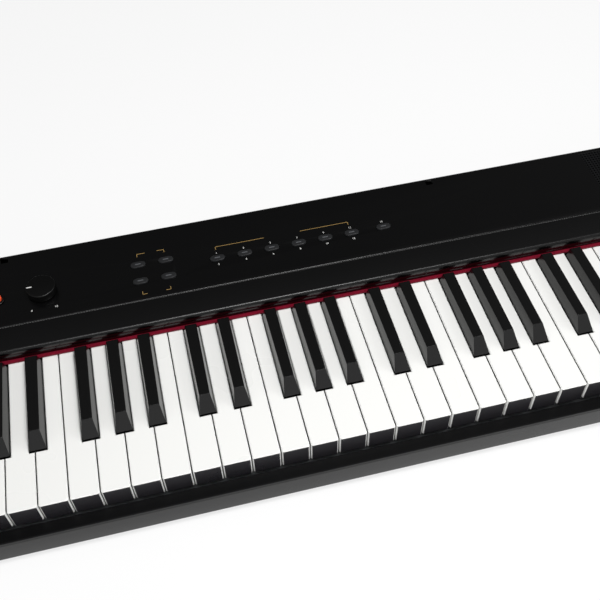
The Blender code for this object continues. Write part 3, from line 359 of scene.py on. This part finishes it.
# %% [markdown]
# The case is four mouldings that show. Their solids have the right outline, so each needs only a smooth
# copy, with no new shape.

# %% Case shells
for node_name in ("upper_case", "lower_case", "front_rail", "power_bezel"):
    shell = smooth_copy(node_name, "case", f"{node_name}_finished")
    print(shell.name, "faces", len(shell.data.polygons))

# %% [markdown]
# Each pill button is a small cap with a paler dash on it. The cap is a smooth copy of the solid, and the
# dash is a thin slab that rides on the same body, so it goes down with the button.

# %% Slabs for printed and inlaid marks
def slab(name, low, high, material, body):
    """A thin block between two corners, used for printed lines and inlays."""
    centre = [(a + b) / 2 for a, b in zip(low, high)]
    bpy.ops.object.select_all(action="DESELECT")
    bpy.ops.mesh.primitive_cube_add(size=1, location=centre)
    item = bpy.context.object
    item.name = name
    item.scale = [b - a for a, b in zip(low, high)]
    bpy.ops.object.transform_apply(location=True, rotation=True, scale=True)
    dress(item, material)
    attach(item, body)
    return item


# %% Buttons
DASH_LENGTH = 5.0 * MM
DASH_WIDTH = 1.1 * MM
INK = 0.06 * MM
buttons = [name for name in nodes if slot_of[name] == "button_grey"]
for name in sorted(buttons):
    smooth_copy(name, name, f"{name}_cap")
    middle = middle_of(name)
    button_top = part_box(name)[1].z
    slab(f"{name}_dash", (middle.x - DASH_LENGTH / 2, middle.y - DASH_WIDTH / 2, button_top - INK),
         (middle.x + DASH_LENGTH / 2, middle.y + DASH_WIDTH / 2, button_top + INK), DASH, name)
smooth_copy("power_button", "power_button", "power_button_cap", 50)
print("buttons", len(buttons))

# %% [markdown]
# The volume knob is turned, slightly wider at its foot, with a soft top edge. A cylinder has its top ring
# drawn in, and a bevel rounds the edge. The white pointer is inlaid in the top.

# %% Volume knob
KNOB_SIDES = 96
KNOB_FACE = 12.9 / 14.2
KNOB_CLEARANCE = 0.6 * MM
KNOB_RIM = 2.2 * MM
KNOB_DISH = 0.25 * MM
KNOB_EDGE = 1.1 * MM
low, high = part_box("volume_knob")
knob = (low + high) / 2
knob_radius = (high.x - low.x) / 2
knob_foot = PANEL_TOP + KNOB_CLEARANCE
bpy.ops.object.select_all(action="DESELECT")
bpy.ops.mesh.primitive_cylinder_add(vertices=KNOB_SIDES, radius=knob_radius, depth=high.z - knob_foot,
                                    location=(knob.x, knob.y, (knob_foot + high.z) / 2))
cap = bpy.context.object
cap.name = "volume_knob_cap"
bpy.ops.object.transform_apply(location=True, rotation=True, scale=True)
for vertex in cap.data.vertices:
    vertex.select = vertex.co.z > high.z - MM
for polygon in cap.data.polygons:
    polygon.select = polygon.center.z > high.z - MM
bpy.ops.object.mode_set(mode="EDIT")
bpy.ops.transform.resize(value=(KNOB_FACE, KNOB_FACE, 1), center_override=(knob.x, knob.y, high.z))
bpy.ops.mesh.inset(thickness=KNOB_RIM)
bpy.ops.transform.translate(value=(0, 0, -KNOB_DISH))
bpy.ops.object.mode_set(mode="OBJECT")
bevel = cap.modifiers.new("edge", "BEVEL")
bevel.width = KNOB_EDGE
bevel.segments = 4
bevel.limit_method = "ANGLE"
bevel.angle_limit = math.radians(50)
bpy.ops.object.modifier_apply(modifier="edge")
bpy.ops.object.shade_smooth_by_angle(angle=math.radians(40))
dress(cap, KNOB)
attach(cap, "volume_knob")
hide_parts("volume_knob")
POINTER_START = 7.4 * MM
POINTER_END = 11.9 * MM
POINTER_HALF = 0.4 * MM
POINTER_SUNK = 0.3 * MM
slab("volume_pointer", (knob.x - POINTER_END, knob.y - POINTER_HALF, high.z - POINTER_SUNK),
     (knob.x - POINTER_START, knob.y + POINTER_HALF, high.z + INK), WHITE_PRINT, "volume_knob")
print("knob radius", knob_radius, "faces", len(cap.data.polygons))

# %% [markdown]
# The speakers sit under sheets with a very fine pattern of holes. A grid is inset cell by cell, the
# middles are taken out, and a Solidify gives the sheet its wall.

# %% Speaker grilles
HOLE_PITCH = 3.0 * MM
HOLE_BAR = 0.62 * MM
SHEET = 0.8 * MM
for side in ("left", "right"):
    node_name = f"speaker_grille_{side}"
    low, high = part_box(node_name)
    columns = round((high.x - low.x) / HOLE_PITCH)
    rows = round((high.y - low.y) / HOLE_PITCH)
    bpy.ops.object.select_all(action="DESELECT")
    bpy.ops.mesh.primitive_grid_add(x_subdivisions=columns, y_subdivisions=rows, size=1,
                                    location=((low.x + high.x) / 2, (low.y + high.y) / 2, high.z))
    sheet = bpy.context.object
    sheet.name = f"{node_name}_sheet"
    sheet.scale = (high.x - low.x, high.y - low.y, 1)
    bpy.ops.object.transform_apply(location=True, rotation=True, scale=True)
    bpy.ops.object.mode_set(mode="EDIT")
    bpy.ops.mesh.select_all(action="SELECT")
    bpy.ops.mesh.inset(thickness=HOLE_BAR, use_individual=True)
    bpy.ops.mesh.delete(type="FACE")
    bpy.ops.object.mode_set(mode="OBJECT")
    wall = sheet.modifiers.new("wall", "SOLIDIFY")
    wall.thickness = SHEET
    wall.offset = -1
    bpy.ops.object.modifier_apply(modifier="wall")
    dress(sheet, GRILLE)
    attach(sheet, "case")
    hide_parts(node_name)
    print(sheet.name, "holes", columns * rows, "faces", len(sheet.data.polygons))

# %% [markdown]
# Thin gold brackets group the controls. They are printed, so each is a set of very thin slabs on the
# panel: a long line with a gap in its middle, and a short tick at each end.

# %% Printed brackets
LINE = 0.45 * MM
ROW_Y = middle_of("voice_button_1").y
REAR_LINE = ROW_Y + 23.1 * MM
REAR_TICK = ROW_Y + 19.6 * MM
REAR_GAP = (7.4 * MM, 6.7 * MM)
FRONT_LINE = ROW_Y - 25.4 * MM
FRONT_TICK = ROW_Y - 22.1 * MM
FRONT_GAP = (4.2 * MM, 4.4 * MM)
VOICE_LINE = ROW_Y + 14.2 * MM
VOICE_TICK = ROW_Y + 10.7 * MM
VOICE_GAP = 17 * MM


def bracket(name, left, right, line_y, tick_y, gap_left, gap_right):
    """A long line with a gap and a tick at each end, all in panel coordinates."""
    low_z, high_z = PANEL_TOP - INK, PANEL_TOP + INK / 2
    tick_low, tick_high = sorted((line_y, tick_y))
    spans = (((left, line_y - LINE / 2), (gap_left, line_y + LINE / 2)),
             ((gap_right, line_y - LINE / 2), (right, line_y + LINE / 2)),
             ((left, tick_low), (left + LINE, tick_high)),
             ((right - LINE, tick_low), (right, tick_high)))
    for number, (low, high) in enumerate(spans):
        slab(f"{name}_line_{number + 1}", (*low, low_z), (*high, high_z), PRINT, "case")


left_x = middle_of("effect_button_rear_left").x
right_x = middle_of("effect_button_rear_right").x
first_x = middle_of("voice_button_1").x
last_x = middle_of("voice_button_6").x
middle_x = (first_x + last_x) / 2
bracket("rear_bracket", left_x, right_x, REAR_LINE, REAR_TICK, left_x + REAR_GAP[0], right_x - REAR_GAP[1])
bracket("front_bracket", left_x, right_x, FRONT_LINE, FRONT_TICK,
        left_x + FRONT_GAP[0], right_x - FRONT_GAP[1])
bracket("voice_bracket", first_x, last_x, VOICE_LINE, VOICE_TICK, middle_x - VOICE_GAP, middle_x + VOICE_GAP)
print("brackets from", left_x, "to", last_x)

# %% [markdown]
# Plain numbers are printed behind and in front of the buttons, and two more in front of the knob. A text
# object is turned into a mesh and laid a hair above the panel.

# %% Printed numbers
NUMBER_HEIGHT = 2.9 * MM
NUMBER_BEHIND = 6.6 * MM
NUMBER_BEFORE = 7.4 * MM
VOICE_BUTTONS = 6


def number(name, text, x, y):
    bpy.ops.object.select_all(action="DESELECT")
    bpy.ops.object.text_add(location=(x, y, PANEL_TOP + INK / 2))
    item = bpy.context.object
    item.name = name
    item.data.body = text
    item.data.size = NUMBER_HEIGHT
    item.data.align_x = "CENTER"
    item.data.align_y = "CENTER"
    item.data.resolution_u = 3
    bpy.ops.object.convert(target="MESH")
    item = bpy.context.object
    bpy.ops.object.transform_apply(location=True, rotation=True, scale=True)
    dress(item, WHITE_PRINT)
    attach(item, "case")


for column in range(VOICE_BUTTONS):
    centre_x = middle_of(f"voice_button_{column + 1}").x
    rear_text = 2 * column + 1
    front_text = rear_text + 1
    number(f"voice_number_{rear_text}", str(rear_text), centre_x, ROW_Y + NUMBER_BEHIND)
    number(f"voice_number_{front_text}", str(front_text), centre_x, ROW_Y - NUMBER_BEFORE)
number("split_number", "13", middle_of("split_button").x, ROW_Y + NUMBER_BEHIND)
number("volume_number_low", "0", knob.x - 10.0 * MM, knob.y - 20.0 * MM)
number("volume_number_high", "10", knob.x + 11.0 * MM, knob.y - 20.1 * MM)
print("numbers", 2 * VOICE_BUTTONS + 3)

# %% [markdown]
# The lower case is closed by screws from below. Each head is a short cylinder with a sunk middle.

# %% Case screws
SCREW_RADIUS = 3.2 * MM
SCREW_PROUD = 0.5 * MM
SCREW_RIM = 1.8 * MM
SCREW_SUNK = 0.4 * MM
SCREW_COLUMNS = 6
SCREW_ROWS = {"front": 0.18, "rear": 0.82}
for column in range(SCREW_COLUMNS):
    for row, share in SCREW_ROWS.items():
        x = case_low.x + (column + 0.5) * (case_high.x - case_low.x) / SCREW_COLUMNS
        y = case_low.y + share * (case_high.y - case_low.y)
        bpy.ops.object.select_all(action="DESELECT")
        bpy.ops.mesh.primitive_cylinder_add(vertices=24, radius=SCREW_RADIUS, depth=2 * SCREW_PROUD,
                                            location=(x, y, CASE_BOTTOM))
        screw = bpy.context.object
        screw.name = f"case_screw_{column + 1}_{row}"
        bpy.ops.object.transform_apply(location=True, rotation=True, scale=True)
        for polygon in screw.data.polygons:
            polygon.select = polygon.normal.z < -0.9
        bpy.ops.object.mode_set(mode="EDIT")
        bpy.ops.mesh.select_mode(type="FACE")
        bpy.ops.mesh.inset(thickness=SCREW_RIM)
        bpy.ops.transform.translate(value=(0, 0, SCREW_SUNK))
        bpy.ops.object.mode_set(mode="OBJECT")
        dress(screw, STEEL)
        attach(screw, "case")
print("screws", SCREW_COLUMNS * len(SCREW_ROWS))

# %% [markdown]
# The floor is a large pale plane. Part of its brightness is a glow that only the camera sees, so that it
# looks nearly white and throws no extra light on the piano, while the piano's shadow still shows on it.

# %% Floor
FLOOR_GLOW = 0.75
bpy.ops.object.select_all(action="DESELECT")
bpy.ops.mesh.primitive_plane_add(size=12, location=(0, 0, 0))
floor = bpy.context.object
floor.name = "floor"
FLOOR, tree, shader = new_material("pale_floor", (0.9, 0.9, 0.9), 0.7, 0.2)
paths = tree.nodes.new("ShaderNodeLightPath")
share = tree.nodes.new("ShaderNodeMath")
share.operation = "MULTIPLY"
share.inputs[1].default_value = FLOOR_GLOW
glow = tree.nodes.new("ShaderNodeEmission")
blend = tree.nodes.new("ShaderNodeMixShader")
tree.links.new(paths.outputs["Is Camera Ray"], share.inputs[0])
tree.links.new(share.outputs["Value"], blend.inputs["Fac"])
tree.links.new(shader.outputs["BSDF"], blend.inputs[1])
tree.links.new(glow.outputs["Emission"], blend.inputs[2])
tree.links.new(blend.outputs["Shader"], tree.nodes["Material Output"].inputs["Surface"])
dress(floor, FLOOR)
print("floor size", tuple(floor.dimensions))

# %% [markdown]
# Three soft lamps hang above and in front. The room is bright in front and dark behind, so that the flat
# panel stays deep black from the camera, and the smallest lamp lights the rounded lip above the keys.

# %% Lights and world
ROOM_FRONT = 0.75
ROOM_REAR = 0.08
ROOM_REAR_START = 0.7


def soft_lamp(name, place, aim, width, depth, watts):
    bpy.ops.object.light_add(type="AREA", location=place)
    lamp = bpy.context.object
    lamp.name = name
    lamp.data.shape = "RECTANGLE"
    lamp.data.size = width
    lamp.data.size_y = depth
    lamp.data.energy = watts
    lamp.rotation_euler = (Vector(aim) - Vector(place)).to_track_quat("-Z", "Y").to_euler()


soft_lamp("main_lamp", (0.25, -0.5, 1.7), (0.05, 0, 0.05), 1.4, 0.4, 14)
soft_lamp("side_lamp", (1.7, -0.1, 1.2), (0.2, 0, 0.05), 0.8, 0.8, 6)
soft_lamp("lip_lamp", (0.16, -0.24, 1.0), (0.14, 0.03, 0.07), 0.36, 0.14, 3.6)

world = bpy.data.worlds.new("studio")
bpy.context.scene.world = world
world.use_nodes = True
tree = world.node_tree
background = tree.nodes["Background"]
background.inputs["Color"].default_value = (1, 1, 1, 1)
paths = tree.nodes.new("ShaderNodeLightPath")
direction = tree.nodes.new("ShaderNodeTexCoord")
parts = tree.nodes.new("ShaderNodeSeparateXYZ")
depth = tree.nodes.new("ShaderNodeMapRange")
depth.inputs["From Min"].default_value = -1
depth.inputs["From Max"].default_value = ROOM_REAR_START
depth.inputs["To Min"].default_value = ROOM_FRONT
depth.inputs["To Max"].default_value = ROOM_REAR
shown = tree.nodes.new("ShaderNodeMix")
shown.inputs["B"].default_value = 1
tree.links.new(direction.outputs["Generated"], parts.inputs["Vector"])
tree.links.new(parts.outputs["Y"], depth.inputs["Value"])
tree.links.new(paths.outputs["Is Camera Ray"], shown.inputs["Factor"])
tree.links.new(depth.outputs["Result"], shown.inputs["A"])
tree.links.new(shown.outputs["Result"], background.inputs["Strength"])
bpy.context.scene.view_settings.view_transform = "Standard"
print("room light from", ROOM_FRONT, "to", ROOM_REAR)
